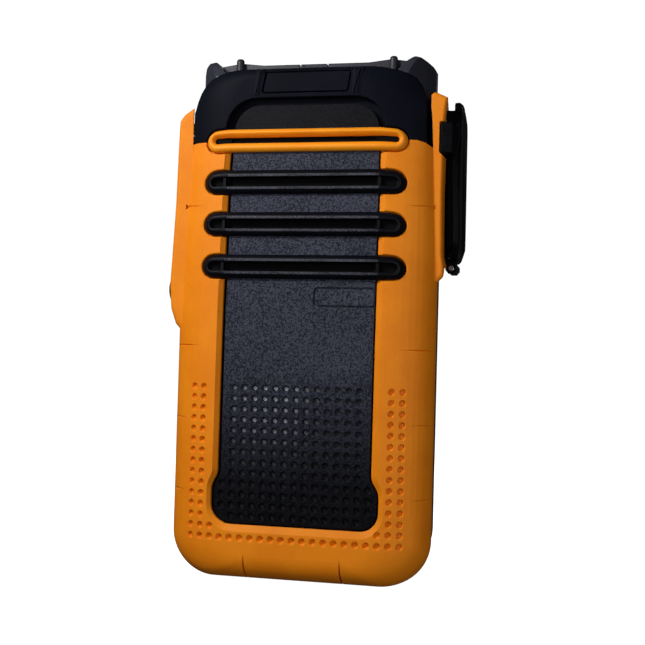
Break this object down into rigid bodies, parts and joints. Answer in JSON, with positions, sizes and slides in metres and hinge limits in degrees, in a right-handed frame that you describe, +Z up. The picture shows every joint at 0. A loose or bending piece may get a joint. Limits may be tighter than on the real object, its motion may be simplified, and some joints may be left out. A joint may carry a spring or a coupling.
{
  "type": "two way radio",
  "caption": "Hand-held two-way radio with an orange over-moulded jacket, slotted speaker front, side talk button, hinged port cover, pull-off rear battery and sprung belt clip.",
  "frame": {"origin": "centre of the flat base, on the body's symmetry plane", "axes": "+Z up along the height, -Y out of the speaker front, +X to the right seen from the front"},
  "size_m": [0.0634, 0.0393, 0.1099],
  "materials": {
    "housing": "fine satin moulded plastic",
    "jacket": "fine-grained soft-touch orange",
    "panel": "spark-textured black plastic",
    "rubber": "matt moulded rubber",
    "grey_plastic": "satin dark grey plastic",
    "alloy": "bead-blasted die casting",
    "steel": "plain drawn steel",
    "gold": "gold-plated contact",
    "board": "green solder mask",
    "cell": "shrink-wrapped cell",
    "light_pipe": "smoked clear plastic"
  },
  "bodies": {
    "housing": {"front_housing": "housing", "orange_jacket": "jacket", "front_panel": "panel", "grille_ring_1": "housing", "grille_ring_2": "housing", "grille_ring_3": "housing", "grille_ring_4": "jacket", "name_plate": "housing", "model_plate": "panel", "top_cover": "housing", "status_light": "light_pipe", "speaker_mesh": "rubber", "speaker_gasket": "rubber", "speaker_frame": "steel", "speaker_cone": "panel", "speaker_magnet": "steel", "microphone": "steel", "microphone_boot": "rubber", "chassis": "alloy", "chassis_seal": "rubber", "chassis_screw_1": "steel", "chassis_screw_2": "steel", "chassis_screw_3": "steel", "chassis_screw_4": "steel", "main_board": "board", "shield_can_rf": "steel", "shield_can_logic": "steel", "battery_terminal": "grey_plastic", "antenna_socket": "gold", "channel_switch": "grey_plastic", "channel_nut": "steel", "volume_switch": "grey_plastic", "volume_nut": "steel", "ptt_switch": "steel", "side_key_switch": "steel", "accessory_frame": "rubber", "accessory_jack": "gold", "cover_pin": "steel", "latch_spring_1": "steel", "latch_spring_2": "steel"},
    "channel_shaft": {"channel_shaft": "steel"},
    "volume_shaft": {"volume_shaft": "steel"},
    "ptt_button": {"ptt_button": "rubber"},
    "side_key": {"side_key": "rubber"},
    "accessory_cover": {"accessory_cover": "rubber"},
    "battery": {"battery_case": "housing", "battery_lid": "grey_plastic", "battery_contact_1": "gold", "battery_contact_2": "gold", "battery_contact_3": "gold", "battery_cell_left": "cell", "battery_cell_right": "cell", "clip_bracket": "grey_plastic", "clip_pin": "steel", "clip_spring": "steel"},
    "battery_latch": {"battery_latch": "grey_plastic"},
    "belt_clip": {"belt_clip": "housing"}
  },
  "joints": [
    {"name": "ptt_press", "type": "slide", "parent": "housing", "child": "ptt_button", "axis": [1, 0, 0], "range_m": [0, 0.001], "stiffness_N_per_m": 2500},
    {"name": "side_key_press", "type": "slide", "parent": "housing", "child": "side_key", "axis": [1, 0, 0], "range_m": [0, 0.0008], "stiffness_N_per_m": 2500},
    {"name": "channel_turn", "type": "hinge", "parent": "housing", "child": "channel_shaft", "pos_m": [0.0005, -0.0003, 0.1], "axis": [0, 0, -1], "range_deg": [0, 337.5]},
    {"name": "volume_turn", "type": "hinge", "parent": "housing", "child": "volume_shaft", "pos_m": [0.0125, -0.0003, 0.1], "axis": [0, 0, -1], "range_deg": [0, 290]},
    {"name": "cover_swing", "type": "hinge", "parent": "housing", "child": "accessory_cover", "pos_m": [0.0299, -0.002, 0.0653], "axis": [0, 1, 0], "range_deg": [0, 120]},
    {"name": "battery_release", "type": "slide", "parent": "housing", "child": "battery", "axis": [0, 1, 0], "range_m": [0, 0.03]},
    {"name": "latch_press", "type": "slide", "parent": "housing", "child": "battery_latch", "axis": [0, 0, 1], "range_m": [0, 0.002], "stiffness_N_per_m": 1500, "deforming": ["latch_spring_1", "latch_spring_2"]},
    {"name": "clip_open", "type": "hinge", "parent": "battery", "child": "belt_clip", "pos_m": [0, 0.0194, 0.084], "axis": [1, 0, 0], "range_deg": [0, 18], "stiffness_Nm_per_rad": 1, "springref_deg": -5.73}
  ]
}
